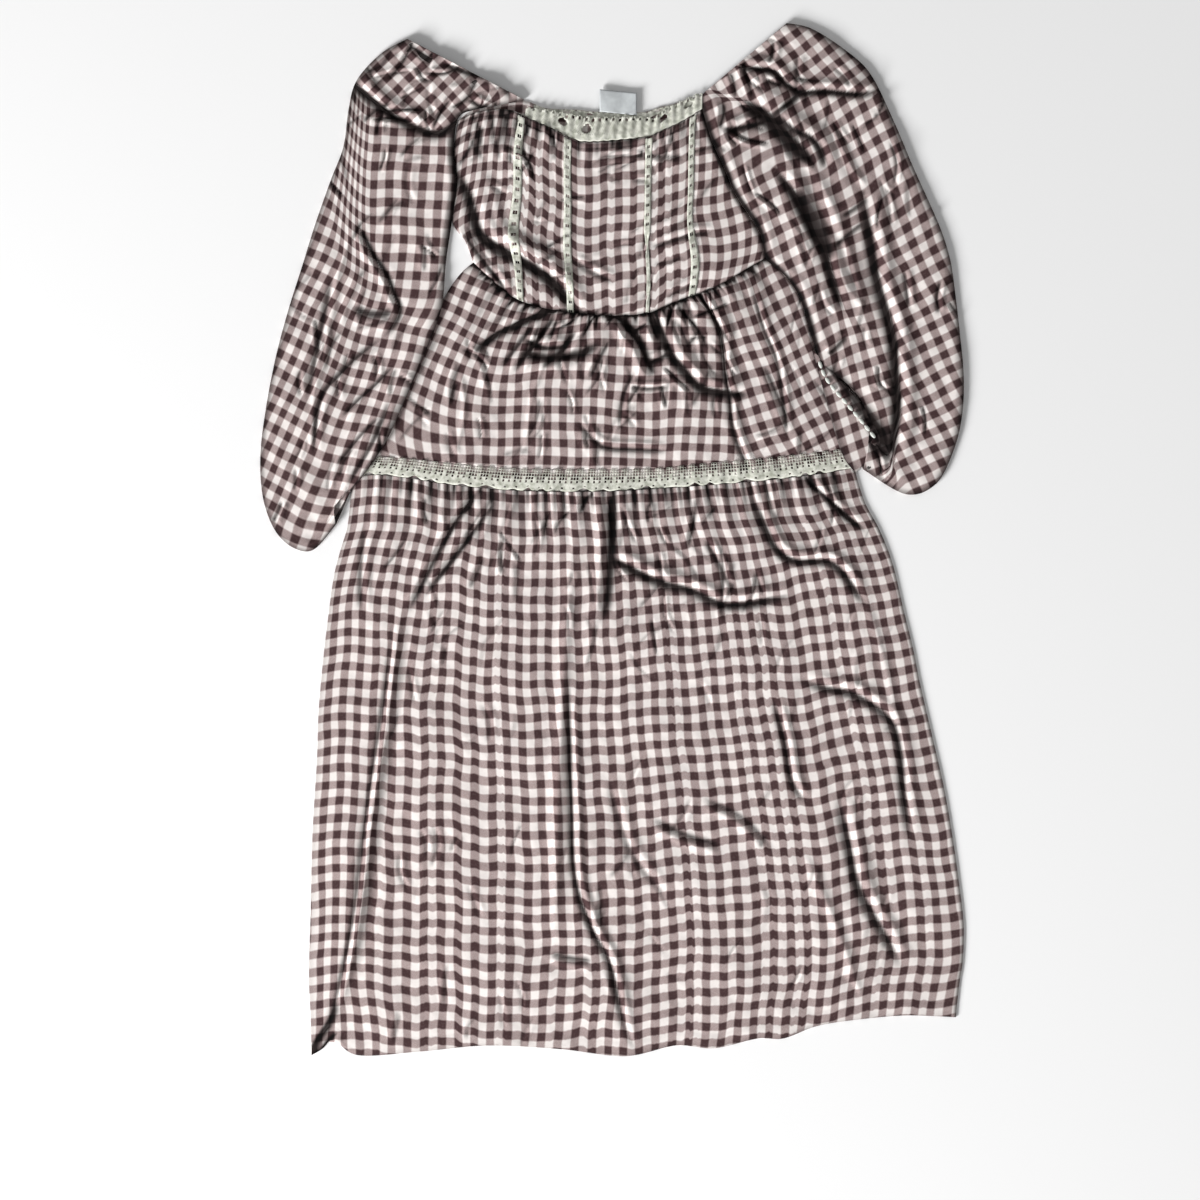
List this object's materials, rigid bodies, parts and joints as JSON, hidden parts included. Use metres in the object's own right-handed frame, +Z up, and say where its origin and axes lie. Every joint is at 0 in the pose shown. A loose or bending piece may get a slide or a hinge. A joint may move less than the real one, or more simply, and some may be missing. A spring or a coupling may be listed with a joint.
{
  "type": "off-shoulder tiered dress with long full sleeves, laid flat",
  "caption": "Checked cotton dress laid flat: off-shoulder neckline, lace bands down the bodice, gathered tiers with openwork lace between, and long full sleeves.",
  "frame": {"origin": "middle of the bounding box, on the surface that the dress lies on", "axes": "+Z up out of the front of the dress, +Y from the hem to the neckline, +X to the right of the picture"},
  "size_m": [0.796, 1.169, 0.0138],
  "materials": {
    "gingham": "woven brown and cream gingham cotton, matte",
    "lace": "ivory openwork cotton lace, matte",
    "ribbon": "white satin ribbon, slightly glossy"
  },
  "bodies": {
    "root": {"skirt_front": "gingham", "skirt_back": "gingham", "tier_lace_front": "lace", "tier_lace_back": "lace", "peplum_front": "gingham", "peplum_back": "gingham", "bodice_front": "gingham", "bodice_back": "gingham", "bodice_lace_1": "lace", "bodice_lace_2": "lace", "bodice_lace_3": "lace", "bodice_lace_4": "lace", "neck_lace_front": "lace", "neck_lace_back": "lace", "sleeve_left": "gingham", "sleeve_right": "gingham", "neck_label": "ribbon"}
  },
  "joints": []
}
